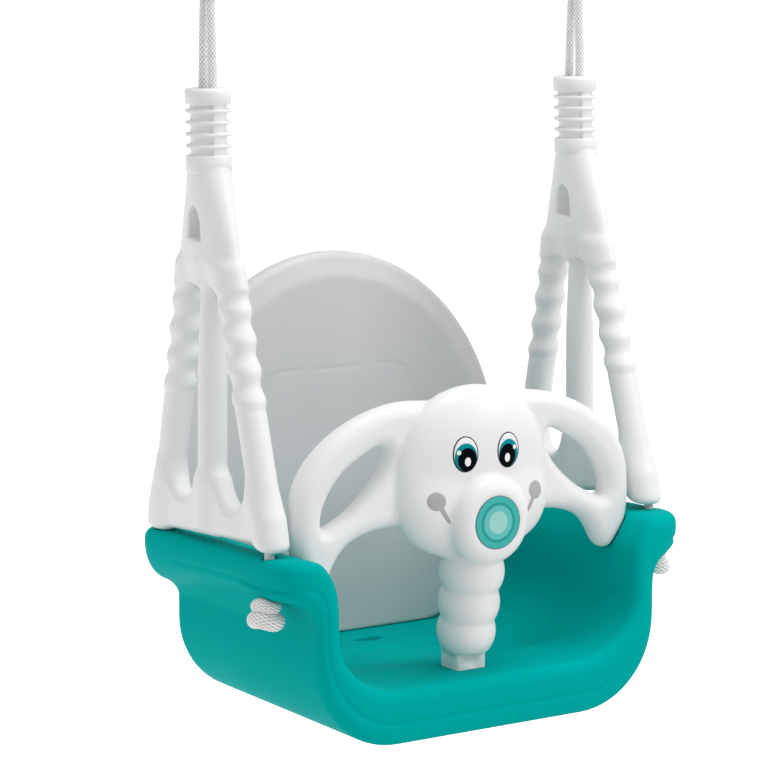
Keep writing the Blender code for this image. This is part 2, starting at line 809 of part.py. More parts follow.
def main():
    clear_scene()
    teal = material("teal plastic", (0.0, 0.37, 0.33), 0.42)
    white = material("white plastic", (0.82, 0.82, 0.82), 0.38)
    grey = material("grey plastic", (0.52, 0.52, 0.53), 0.45)
    fibre = material("white rope", (0.78, 0.78, 0.77), 0.8)
    steel = material("zinc-plated steel", (0.62, 0.63, 0.65), 0.3, 1.0)
    nylon = material("black nylon", (0.03, 0.03, 0.035), 0.5)
    decal = material("teal disc", (0.03, 0.42, 0.40), 0.35)
    ink = material("printed eye", (0.02, 0.03, 0.03), 0.3)
    dimple = material("grey print", (0.36, 0.37, 0.38), 0.5)

    hooks = empty_at("hooks", (0, 0, 0))
    swing = empty_at("swing", (0, 0, 0))
    guard = empty_at("guard", (0, 0, 0))
    guard.parent = swing

    make_seat(teal, swing)
    make_backrest(grey, swing)
    make_guard(white, guard)
    make_nose_disc(decal, guard)
    for name, side in (("left", -1), ("right", 1)):
        make_face_mark(f"{name}_eye", [eye_outline(side)], ink, guard)
        make_face_mark(f"{name}_smile_mark", smile_outlines(side), dimple, guard)
        make_hanger(f"{name}_hanger", side, white, swing)
        make_rope(f"{name}_rope", side, fibre, swing)
        front = (side * 0.2085, FRONT_HOLE[1], -0.5690)
        rear = (side * REAR_HOLE[0], REAR_HOLE[1], -0.5462)
        make_knot(f"{name}_front_knot", front, (0.0130, 0.0165, 0.0125), fibre, swing)
        make_knot(f"{name}_rear_knot", rear, (0.0125, 0.0135, 0.0112), fibre, swing)
        make_thimble(f"{name}_thimble", side, nylon, swing)
        make_clamp(f"{name}_rope_clamp", side, steel, swing)
        make_hook(f"{name}_snap_hook", side, steel, hooks)
        make_gate(f"{name}_hook_gate", side, steel, hooks)
        make_pin(f"{name}_gate_pin", side, steel, hooks)


main()
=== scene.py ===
"""Looks for the toddler bucket swing. Metres, +Z up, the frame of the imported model."""

import math

import bmesh
import bpy
import numpy as np
import openvdb
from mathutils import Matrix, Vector


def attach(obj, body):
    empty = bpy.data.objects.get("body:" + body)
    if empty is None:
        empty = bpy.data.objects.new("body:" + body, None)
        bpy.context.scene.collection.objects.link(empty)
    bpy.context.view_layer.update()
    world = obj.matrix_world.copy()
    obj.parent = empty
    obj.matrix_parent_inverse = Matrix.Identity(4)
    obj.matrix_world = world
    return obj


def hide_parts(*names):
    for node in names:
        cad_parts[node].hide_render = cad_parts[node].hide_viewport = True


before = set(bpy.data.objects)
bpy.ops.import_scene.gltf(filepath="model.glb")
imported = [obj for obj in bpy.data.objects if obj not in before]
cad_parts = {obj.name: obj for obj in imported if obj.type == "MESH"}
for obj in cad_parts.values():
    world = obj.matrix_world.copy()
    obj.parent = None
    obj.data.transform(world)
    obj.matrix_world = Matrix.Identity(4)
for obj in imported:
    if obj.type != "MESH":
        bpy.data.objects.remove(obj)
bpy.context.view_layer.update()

# ---------------------------------------------------------------- camera

FIT_AZIMUTH = math.radians(-33.2)
FIT_ELEVATION = math.radians(8.55)
CAMERA_DISTANCE = 2.729
CAMERA_TARGET = Vector((0.0, 0.030, -0.405))
LENS = 142.1


def make_camera():
    back = Vector(
        (
            math.sin(FIT_AZIMUTH) * math.cos(FIT_ELEVATION),
            -math.cos(FIT_AZIMUTH) * math.cos(FIT_ELEVATION),
            math.sin(FIT_ELEVATION),
        )
    )
    data = bpy.data.cameras.new("camera")
    data.lens = LENS
    data.sensor_width = 36
    data.clip_end = 50
    camera = bpy.data.objects.new("camera", data)
    camera.location = CAMERA_TARGET + back * CAMERA_DISTANCE
    camera.rotation_euler = back.to_track_quat("Z", "Y").to_euler()
    bpy.context.collection.objects.link(camera)
    bpy.context.scene.camera = camera


make_camera()

# ---------------------------------------------------------------- materials


def shader_of(name, colour, roughness, metallic=0.0):
    made = bpy.data.materials.new(name)
    made.use_nodes = True
    tree = made.node_tree
    shader = tree.nodes["Principled BSDF"]
    shader.inputs["Base Color"].default_value = (*colour, 1)
    shader.inputs["Roughness"].default_value = roughness
    shader.inputs["Metallic"].default_value = metallic
    return made, tree, shader


def noise(tree, coordinates, scale, detail=3.0):
    node = tree.nodes.new("ShaderNodeTexNoise")
    node.inputs["Scale"].default_value = scale
    node.inputs["Detail"].default_value = detail
    tree.links.new(coordinates.outputs["Object"], node.inputs["Vector"])
    return node.outputs["Fac"]


def spread(tree, source, low, high):
    """The 0-1 value stretched to run from low to high."""
    node = tree.nodes.new("ShaderNodeMapRange")
    node.inputs["From Min"].default_value = 0.3
    node.inputs["From Max"].default_value = 0.7
    node.inputs["To Min"].default_value = low
    node.inputs["To Max"].default_value = high
    tree.links.new(source, node.inputs["Value"])
    return node.outputs["Result"]


def tinted(tree, shader, colour, source, change):
    """The base colour made lighter and darker by the share change as source runs from 0 to 1."""
    mix = tree.nodes.new("ShaderNodeMix")
    mix.data_type = "RGBA"
    mix.inputs["A"].default_value = (*[c * (1 - change) for c in colour], 1)
    mix.inputs["B"].default_value = (*[min(1, c * (1 + change)) for c in colour], 1)
    tree.links.new(source, mix.inputs["Factor"])
    tree.links.new(mix.outputs["Result"], shader.inputs["Base Color"])


def bumped(tree, shader, layers):
    """Bump layers of (height output, strength, distance), the first outermost."""
    normal = None
    for height, strength, distance in reversed(layers):
        bump = tree.nodes.new("ShaderNodeBump")
        bump.inputs["Strength"].default_value = strength
        bump.inputs["Distance"].default_value = distance
        tree.links.new(height, bump.inputs["Height"])
        if normal:
            tree.links.new(normal, bump.inputs["Normal"])
        normal = bump.outputs["Normal"]
    tree.links.new(normal, shader.inputs["Normal"])


def moulded(name, colour, roughness, grain, depth, change=0.03, specular=0.5, sheen=(1, 1, 1)):
    """Moulded plastic: a fine pebbled grain, faint flow marks and slight tone changes."""
    made, tree, shader = shader_of(name, colour, roughness)
    shader.inputs["Specular IOR Level"].default_value = specular
    shader.inputs["Specular Tint"].default_value = (*sheen, 1)
    place = tree.nodes.new("ShaderNodeTexCoord")
    fine = noise(tree, place, grain, 2.0)
    broad = noise(tree, place, 14.0, 2.0)
    tinted(tree, shader, colour, spread(tree, broad, 0, 1), change)
    tree.links.new(
        spread(tree, noise(tree, place, 60.0), roughness - 0.05, roughness + 0.05),
        shader.inputs["Roughness"],
    )
    bumped(tree, shader, [(fine, 0.5, depth), (broad, 0.4, 0.0012)])
    return made


def printed(name, colour, roughness=0.35, specular=0.25):
    made, tree, shader = shader_of(name, colour, roughness)
    shader.inputs["Specular IOR Level"].default_value = specular
    place = tree.nodes.new("ShaderNodeTexCoord")
    fine = noise(tree, place, 1500.0, 2.0)
    tinted(tree, shader, colour, fine, 0.04)
    bumped(tree, shader, [(fine, 0.3, 0.00008)])
    return made


def metal(name, colour, roughness):
    made, tree, shader = shader_of(name, colour, roughness, 1.0)
    place = tree.nodes.new("ShaderNodeTexCoord")
    cloudy = noise(tree, place, 120.0)
    tinted(tree, shader, colour, spread(tree, cloudy, 0, 1), 0.08)
    tree.links.new(
        spread(tree, noise(tree, place, 300.0), roughness - 0.08, roughness + 0.12),
        shader.inputs["Roughness"],
    )
    bumped(tree, shader, [(noise(tree, place, 2500.0), 0.25, 0.00005)])
    return made


def fibre(name, colour):
    made, tree, shader = shader_of(name, colour, 0.75)
    place = tree.nodes.new("ShaderNodeTexCoord")
    threads = noise(tree, place, 3000.0, 4.0)
    # Painted shade: darker between the strands, where the plait sinks, and full colour on top of them.
    plait = tree.nodes.new("ShaderNodeAttribute")
    plait.attribute_name = "plait"
    ramp = tree.nodes.new("ShaderNodeValToRGB")
    ramp.color_ramp.elements[0].position = 0.30
    ramp.color_ramp.elements[0].color = (*(0.42 * c for c in colour), 1)
    ramp.color_ramp.elements[1].position = 0.62
    ramp.color_ramp.elements[1].color = (*colour, 1)
    tree.links.new(plait.outputs["Fac"], ramp.inputs["Fac"])
    tree.links.new(ramp.outputs["Color"], shader.inputs["Base Color"])
    bumped(tree, shader, [(threads, 0.6, 0.00015)])
    return made


TEAL = moulded("teal_plastic", (0.0, 0.392, 0.368), 0.45, 1500.0, 0.0002, 0.015, 0.003, (0.1, 1, 0.95))
WHITE = moulded("white_plastic", (0.835, 0.835, 0.837), 0.42, 1400.0, 0.00014, 0.012, 0.4)
GREY = moulded("grey_plastic", (0.640, 0.620, 0.632), 0.48, 1400.0, 0.0002, 0.02)
ROPE = fibre("braided_rope", (0.94, 0.94, 0.93))
ZINC = metal("zinc_plate", (0.60, 0.61, 0.63), 0.28)
NYLON = moulded("black_nylon", (0.018, 0.018, 0.02), 0.4, 1500.0, 0.0001, 0.1)
INK = printed("black_ink", (0.002, 0.003, 0.005), 0.7, 0.03)
PAPER = printed("white_ink", (0.88, 0.88, 0.88))
IRIS = printed("teal_ink", (0.002, 0.26, 0.31), 0.6, 0.05)
GREY_INK = printed("grey_ink", (0.42, 0.42, 0.43), 0.5)
RINGS = (
    printed("disc_edge", (0.10, 0.22, 0.25)),
    printed("disc_outer", (0.045, 0.46, 0.42)),
    printed("disc_second", (0.012, 0.33, 0.30)),
    printed("disc_third", (0.12, 0.53, 0.49)),
    printed("disc_centre", (0.33, 0.66, 0.61)),
)

# ---------------------------------------------------------------- solid fields


def blend(a, b, reach):
    """Two solids joined with a soft fillet."""
    share = np.clip(0.5 + 0.5 * (b - a) / reach, 0, 1)
    return b + (a - b) * share - reach * share * (1 - share)


def common(a, b, reach):
    return -blend(-a, -b, reach)


def carve(a, b, reach):
    return -blend(-a, b, reach)


def plate(profile, across, edge):
    """A profile of some thickness, its edges rounded to the radius edge."""
    a = np.maximum(profile + edge, 0)
    b = np.maximum(across + edge, 0)
    return np.sqrt(a * a + b * b) + np.minimum(np.maximum(profile, across) + edge, 0) - edge


def fade(value, low, high):
    """A smooth step from 0 at low to 1 at high."""
    share = np.clip((value - low) / (high - low), 0, 1)
    return share * share * (3 - 2 * share)


def flowing(points, steps=6):
    """A closed smooth line through the points."""
    points = [np.array(p) for p in points]
    count = len(points)
    made = []
    for i in range(count):
        a, b, c, d = (points[(i + k) % count] for k in (-1, 0, 1, 2))
        for k in range(steps):
            t = k / steps
            made.append(
                b
                + (c - a) * (t / 2)
                + (2 * a - 5 * b + 4 * c - d) * (t * t / 2)
                + (3 * b - a - 3 * c + d) * (t**3 / 2)
            )
    return made


def through(points, steps=6):
    """An open smooth line through the points."""
    points = [np.array(p, float) for p in points]
    points = [2 * points[0] - points[1]] + points + [2 * points[-1] - points[-2]]
    made = []
    for a, b, c, d in zip(points, points[1:], points[2:], points[3:]):
        for k in range(steps):
            t = k / steps
            made.append(
                b
                + (c - a) * (t / 2)
                + (2 * a - 5 * b + 4 * c - d) * (t * t / 2)
                + (3 * b - a - 3 * c + d) * (t**3 / 2)
            )
    return made + [points[-2]]


def outline_distance(u, v, points):
    """Signed distance, negative inside, from each (u, v) to the closed outline."""
    u, v = np.broadcast_arrays(u, v)
    nearest = np.full(u.shape, 1e9, np.float32)
    inside = np.zeros(u.shape, bool)
    for i, (x1, y1) in enumerate(points):
        x0, y0 = points[i - 1]
        dx, dy = x1 - x0, y1 - y0
        length = dx * dx + dy * dy
        if length < 1e-14:
            continue
        t = np.clip(((u - x0) * dx + (v - y0) * dy) / length, 0, 1)
        nearest = np.minimum(nearest, (u - x0 - t * dx) ** 2 + (v - y0 - t * dy) ** 2)
        if y0 != y1:
            inside ^= ((y0 <= v) != (y1 <= v)) & (u < x0 + (v - y0) * dx / dy)
    return np.where(inside, -1, 1) * np.sqrt(nearest)


def line_distance(u, v, points):
    """Distance from each (u, v) to the open line."""
    u, v = np.broadcast_arrays(u, v)
    nearest = np.full(u.shape, 1e9, np.float32)
    for (x0, y0), (x1, y1) in zip(points, points[1:]):
        dx, dy = x1 - x0, y1 - y0
        t = np.clip(((u - x0) * dx + (v - y0) * dy) / (dx * dx + dy * dy), 0, 1)
        nearest = np.minimum(nearest, (u - x0 - t * dx) ** 2 + (v - y0 - t * dy) ** 2)
    return np.sqrt(nearest)


class Field:
    """A grid of points that a solid's distance is worked out on."""

    def __init__(self, low, high, step):
        self.low = np.array(low, float)
        self.step = step
        counts = [int(math.ceil((b - a) / step)) + 1 for a, b in zip(low, high)]
        axes = [(a + step * np.arange(n)).astype(np.float32) for a, n in zip(low, counts)]
        self.shape = tuple(counts)
        self.x, self.y, self.z = np.meshgrid(*axes, indexing="ij", sparse=True)

    def ball(self, centre, radii):
        """An ellipsoid, its distance scaled by its least radius."""
        rx, ry, rz = radii
        x = (self.x - centre[0]) / rx
        y = (self.y - centre[1]) / ry
        z = (self.z - centre[2]) / rz
        size = np.sqrt(x * x + y * y + z * z)
        slope = np.sqrt((x / rx) ** 2 + (y / ry) ** 2 + (z / rz) ** 2)
        return size * (size - 1) / np.maximum(slope, 1e-6)

    def block(self, low, high, edge):
        """A box with rounded edges."""
        parts = []
        for axis, a, b in zip((self.x, self.y, self.z), low, high):
            parts.append(np.abs(axis - (a + b) / 2) - (b - a) / 2 + edge)
        out = sum(np.maximum(p, 0) ** 2 for p in parts)
        deep = np.maximum(np.maximum(parts[0], parts[1]), parts[2])
        return np.sqrt(out) + np.minimum(deep, 0) - edge

    def upright(self, x, y, radius):
        return np.sqrt((self.x - x) ** 2 + (self.y - y) ** 2) - radius

    def surface(self, distance):
        """Points and quads of the surface where the distance is zero."""
        band = 3 * self.step
        full = np.broadcast_to(distance, self.shape)
        grid = openvdb.FloatGrid(band)
        grid.copyFromArray(np.ascontiguousarray(np.clip(full, -band, band), np.float32))
        points, quads = grid.convertToQuads(isovalue=0.0)
        return points * self.step + self.low, quads


def mesh_object(name, points, faces, material, body, node=None, smooth=True):
    mesh = bpy.data.meshes.new(name)
    if isinstance(faces, np.ndarray):
        mesh.from_pydata(points.tolist(), [], faces.tolist())
    else:
        mesh.from_pydata([tuple(p) for p in points], [], faces)
        turn_out(mesh)
    mesh.update()
    made = bpy.data.objects.new(name, mesh)
    bpy.context.collection.objects.link(made)
    return dressed(made, material, body, node, smooth)


def dressed(made, material, body, node=None, smooth=True):
    made.data.materials.clear()
    made.data.materials.append(material)
    if smooth and made.type == "MESH":
        made.data.shade_smooth()
    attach(made, body)
    if node:
        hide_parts(node)
    return made


def turn_out(mesh):
    """Every face of the closed mesh made to point outwards."""
    work = bmesh.new()
    work.from_mesh(mesh)
    bmesh.ops.recalc_face_normals(work, faces=work.faces)
    work.to_mesh(mesh)
    work.free()


def facing_out(points, faces):
    """The faces turned so that their solid's volume is positive."""
    a, b, c = (points[faces[:, i]] for i in range(3))
    return faces if np.einsum("ij,ij->", a, np.cross(b, c)) > 0 else faces[:, ::-1]


def relaxed(points, faces, rounds, share=0.5):
    """The points moved part of the way to the mean of their neighbours, and back out again."""
    ends = np.concatenate([faces[:, [i, (i + 1) % 4]] for i in range(4)])
    ends = np.concatenate([ends, ends[:, ::-1]])
    count = np.bincount(ends[:, 0], minlength=len(points)).astype(float)
    for turn in range(rounds * 2):
        mean = np.empty_like(points)
        for axis in range(3):
            mean[:, axis] = np.bincount(ends[:, 0], points[ends[:, 1], axis], len(points))
        mean /= count[:, None]
        pull = share if turn % 2 == 0 else -share * 1.04
        points = points + (mean - points) * pull
    return points


def solid(name, field, distance, material, body, node=None, rounds=2, mirror=False):
    """The field's surface as a smooth-shaded piece."""
    points, quads = field.surface(distance)
    points = relaxed(points, quads, rounds)
    if mirror:
        points = points * (-1, 1, 1)
    quads = facing_out(points, quads.astype(int))
    return mesh_object(name, points, quads, material, body, node)


def ring_quads(rings, sides):
    """Quads between successive rings of points."""
    faces = []
    for row in range(rings - 1):
        for k in range(sides):
            a, b = row * sides + k, row * sides + (k + 1) % sides
            faces.append((a, b, b + sides, a + sides))
    return faces


def tube(path, sides, radius, height=None):
    """Points and quads of a tube along the path, its ends closed. height(s, turn) adds to the radius."""
    path = [Vector(p) for p in path]
    tangents = [
        (path[min(i + 1, len(path) - 1)] - path[max(i - 1, 0)]).normalized()
        for i in range(len(path))
    ]
    across = tangents[0].orthogonal().normalized()
    points, run = [], 0.0
    for i, (place, along) in enumerate(zip(path, tangents)):
        if i:
            run += (place - path[i - 1]).length
        across = (across - along * across.dot(along)).normalized()
        other = along.cross(across)
        for k in range(sides):
            turn = 2 * math.pi * k / sides
            size = radius + (height(run, k / sides) if height else 0)
            points.append(place + across * size * math.cos(turn) + other * size * math.sin(turn))
    faces = ring_quads(len(path), sides)
    for start in (0, (len(path) - 1) * sides):
        points.append(sum((points[start + k] for k in range(sides)), Vector()) / sides)
        centre = len(points) - 1
        for k in range(sides):
            a, b = start + k, start + (k + 1) % sides
            faces.append((centre, b, a) if start == 0 else (centre, a, b))
    return points, faces


def even_path(points, spacing):
    """Points spaced evenly along the line."""
    line = [Vector(p) for p in points]
    lengths = [0.0]
    for a, b in zip(line, line[1:]):
        lengths.append(lengths[-1] + (b - a).length)
    count = max(2, int(round(lengths[-1] / spacing)))
    made, at = [], 0
    for i in range(count + 1):
        want = lengths[-1] * i / count
        while at < len(line) - 2 and lengths[at + 1] < want:
            at += 1
        share = (want - lengths[at]) / max(1e-9, lengths[at + 1] - lengths[at])
        made.append(line[at].lerp(line[at + 1], min(1, share)))
    return made


PLAIT_HEIGHT = 0.00095
PLAIT_SINK = 0.00055


def braid(run, turn, strands=8, pitch=0.0042):
    """Height of a plaited rope's surface: two sets of strands that pass over each other."""
    u = turn * strands + run / pitch
    v = turn * strands - run / pitch
    cross_u, cross_v = math.sin(math.pi * (u % 1)), math.sin(math.pi * (v % 1))
    over = (math.floor(u) + math.floor(v)) % 2 == 0
    top, along = (cross_u, cross_v) if over else (cross_v, cross_u)
    return PLAIT_HEIGHT * math.sqrt(top) * (0.35 + 0.65 * along)


def fine_braid(run, turn):
    """The same plait round a thick turn of a knot, where more strands fit."""
    return braid(run, turn, 14, 0.0044)


# ---------------------------------------------------------------- ropes

ROPE_R = 0.004
ROPE_X = 0.195
LOOP_R = 0.0178
LOOP_Z = -0.0049
NECK_TOP = -0.133
FRONT_HOLE = (0.203, -0.110)
REAR_HOLE = (0.199, 0.0765)
FRONT_KNOT = (0.2065, FRONT_HOLE[1], -0.5690)
FRONT_KNOT_SIZE = (0.0150, 0.0182, 0.0130)
REAR_KNOT = (*REAR_HOLE, -0.5462)
REAR_KNOT_SIZE = (0.0120, 0.0130, 0.0105)


def hanger_axis(z):
    """(x, y) of the hanger's middle line at height z, for the hanger on the +X side."""
    down = NECK_TOP - z
    return ROPE_X + 0.0105 * down, -0.0045 * np.minimum(1, down / 0.127)


def front_leg(z):
    x, y = hanger_axis(z)
    return x, y - 0.021 - 0.321 * (-0.255 - z)


def rear_leg(z):
    x, y = hanger_axis(z)
    return x, y + 0.0302 + 0.2055 * (-0.282 - z)


def rope_points(side):
    """The rope's own points, from the front knot up through the front leg, round the thimble,
    and down through the rear leg to the knot inside the arm."""
    points = [(0.2036, FRONT_HOLE[1], -0.5560), (0.2032, FRONT_HOLE[1], -0.5400)]
    points += [(0.2022, -0.1093, -0.5200), (0.1997, -0.1075, -0.5020)]
    for z in (-0.470, -0.410, -0.350, -0.290, -0.240):
        points.append((*front_leg(z), z))
    points += [(0.1957, -0.0096, -0.195), (0.1952, -0.0089, -0.160), (ROPE_X, -0.0080, NECK_TOP)]
    points += [(ROPE_X, -0.0066, -0.090), (ROPE_X, -0.0050, -0.060), (ROPE_X, -0.00445, -0.040)]
    for degrees in (210, 180, 150, 120, 90, 60, 30, 0, -30):
        turn = math.radians(degrees)
        points.append((ROPE_X, LOOP_R * math.cos(turn), LOOP_Z + LOOP_R * math.sin(turn)))
    points += [(ROPE_X, 0.00445, -0.040), (ROPE_X, 0.0050, -0.060), (ROPE_X, 0.0066, -0.090)]
    points += [(ROPE_X, 0.0080, NECK_TOP), (0.1952, 0.0065, -0.160), (0.1957, 0.0056, -0.195)]
    for z in (-0.240, -0.290, -0.350, -0.410, -0.470):
        points.append((*rear_leg(z), z))
    points += [(0.199, 0.0768, -0.512), (REAR_HOLE[0], REAR_HOLE[1], -0.5340)]
    return [(side * x, y, z) for x, y, z in points]


def in_sight(z):
    """Whether a rope at this height is outside the hanger and the arm."""
    return z > -0.150 or -0.545 < z < -0.505


def show_plait(made, points, parts):
    """Store how far each point of the tubes stands out of the plait, from 0 to 1; the rope material paints
    shade where it is low.
    """
    values = []
    for path, sides, low in parts:
        for i, centre in enumerate(path):
            for k in range(sides):
                out = (Vector(points[len(values)]) - centre).length - low
                values.append(min(1.0, max(0.0, out / 0.00090)))
        values += [1.0, 1.0]
    made.data.attributes.new("plait", "FLOAT", "POINT").data.foreach_set("value", values)


def make_rope(name, side):
    line = even_path(through(rope_points(side), 10), 0.00055)
    kept = [p for i, p in enumerate(line) if in_sight(p.z) or i % 8 == 0 or i == len(line) - 1]
    points, faces = tube(kept, 40, ROPE_R - PLAIT_SINK, braid)
    rope = mesh_object(f"{name}_braid", points, faces, ROPE, "swing", name)
    show_plait(rope, points, [(kept, 40, ROPE_R - PLAIT_SINK)])
    return rope


def make_knot(name, side, centre, wide, deep, tall):
    """A stopper knot: a full lower turn of rope, a smaller turn above it, and its end tucked in."""
    parts = ((1.0, 0.0071, -0.42), (0.80, 0.0056, 0.50))
    x, y, z = side * centre[0], centre[1], centre[2]
    points, faces, tubes = [], [], []
    for share, thick, level in parts:
        ring = []
        for i in range(41):
            t = 2 * math.pi * i / 40
            ring.append((
                x + (wide - 0.0072) * share * math.cos(t),
                y + (deep - 0.0072) * share * math.sin(t),
                z + tall * level + 0.0012 * math.sin(2 * t + 0.6),
            ))
        path = even_path(through(ring, 3), 0.0006)
        tubes.append((path, 72, thick - 0.0004))
        more, quads = tube(path, 72, thick - 0.0004, fine_braid)
        faces += [tuple(k + len(points) for k in face) for face in quads]
        points += more
    path = even_path([(x, y, z - tall * 0.62), (x, y, z + tall)], 0.0006)
    tubes.append((path, 40, 0.0052))
    more, quads = tube(path, 40, 0.0052, braid)
    faces += [tuple(k + len(points) for k in face) for face in quads]
    points += more
    knot = mesh_object(f"{name}_wound", points, faces, ROPE, "swing", name)
    show_plait(knot, points, tubes)


# ---------------------------------------------------------------- seat

FRONT = -0.155
REAR = 0.108
FLOOR = -0.6495
ARM_LEVEL = -0.5245
ARM_RISE = 0.034
ARM_REACH = 0.2175
GROOVE_DEPTH = 0.0013
GROOVE_WIDTH = 0.0016
GUARD_Y = -0.102
EAR_HALF = 0.014
FOOT_Y = -0.104
FOOT_END = -0.668
BACK_FOOT_Y = 0.083
BACK_LEAN = 0.070


def arc(centre, radius, start, end, steps):
    turns = [math.radians(start + (end - start) * i / steps) for i in range(steps + 1)]
    return [(centre[0] + radius * math.cos(t), centre[1] + radius * math.sin(t)) for t in turns]


def grooved(line):
    """How deep the parting line cuts at each distance from its middle."""
    return GROOVE_DEPTH * np.exp(-((line / GROOVE_WIDTH) ** 2))


def outer_half(wall, bottom, bend, lobe):
    """Half the seat's outside at one end: floor, bend, wall and the rolled arm."""
    points = [(-0.02, bottom), (0.03, bottom)]
    points += arc((wall - bend, bottom + bend), bend, -90, 0, 16)
    points += [tuple(p) for p in through([(wall, -0.604), *lobe], 6)]
    points += [(-0.02, ARM_LEVEL)]
    return points


REAR_LOBE = (
    (0.1722, -0.5915), (0.1800, -0.5815), (0.1940, -0.5735), (0.2060, -0.5620), (0.2140, -0.5500),
    (0.2172, -0.5400), (0.2165, -0.5320), (0.2128, -0.5268), (0.2060, -0.5247), (0.1950, -0.5245),
)
FRONT_LOBE = (
    (0.1783, -0.5830), (0.1802, -0.5735), (0.1865, -0.5655), (0.1990, -0.5590), (0.2105, -0.5515),
    (0.2168, -0.5415), (0.2165, -0.5325), (0.2128, -0.5270), (0.2060, -0.5247), (0.1950, -0.5245),
)


def hollow_half(wall):
    bend = 0.058
    points = [(-0.02, FLOOR), (0.03, FLOOR)]
    points += arc((wall - bend, FLOOR + bend), bend, -90, 0, 14)
    lip = [(wall + 0.0004, -0.572), (wall + 0.0027, -0.5540), (wall + 0.0088, -0.5405)]
    lip += [(wall + 0.0180, -0.5295), (wall + 0.0300, -0.5252), (wall + 0.0450, -0.5235)]
    points += [tuple(p) for p in through(lip, 5)]
    return points + [(0.25, -0.520), (0.25, -0.42), (-0.02, -0.42)]


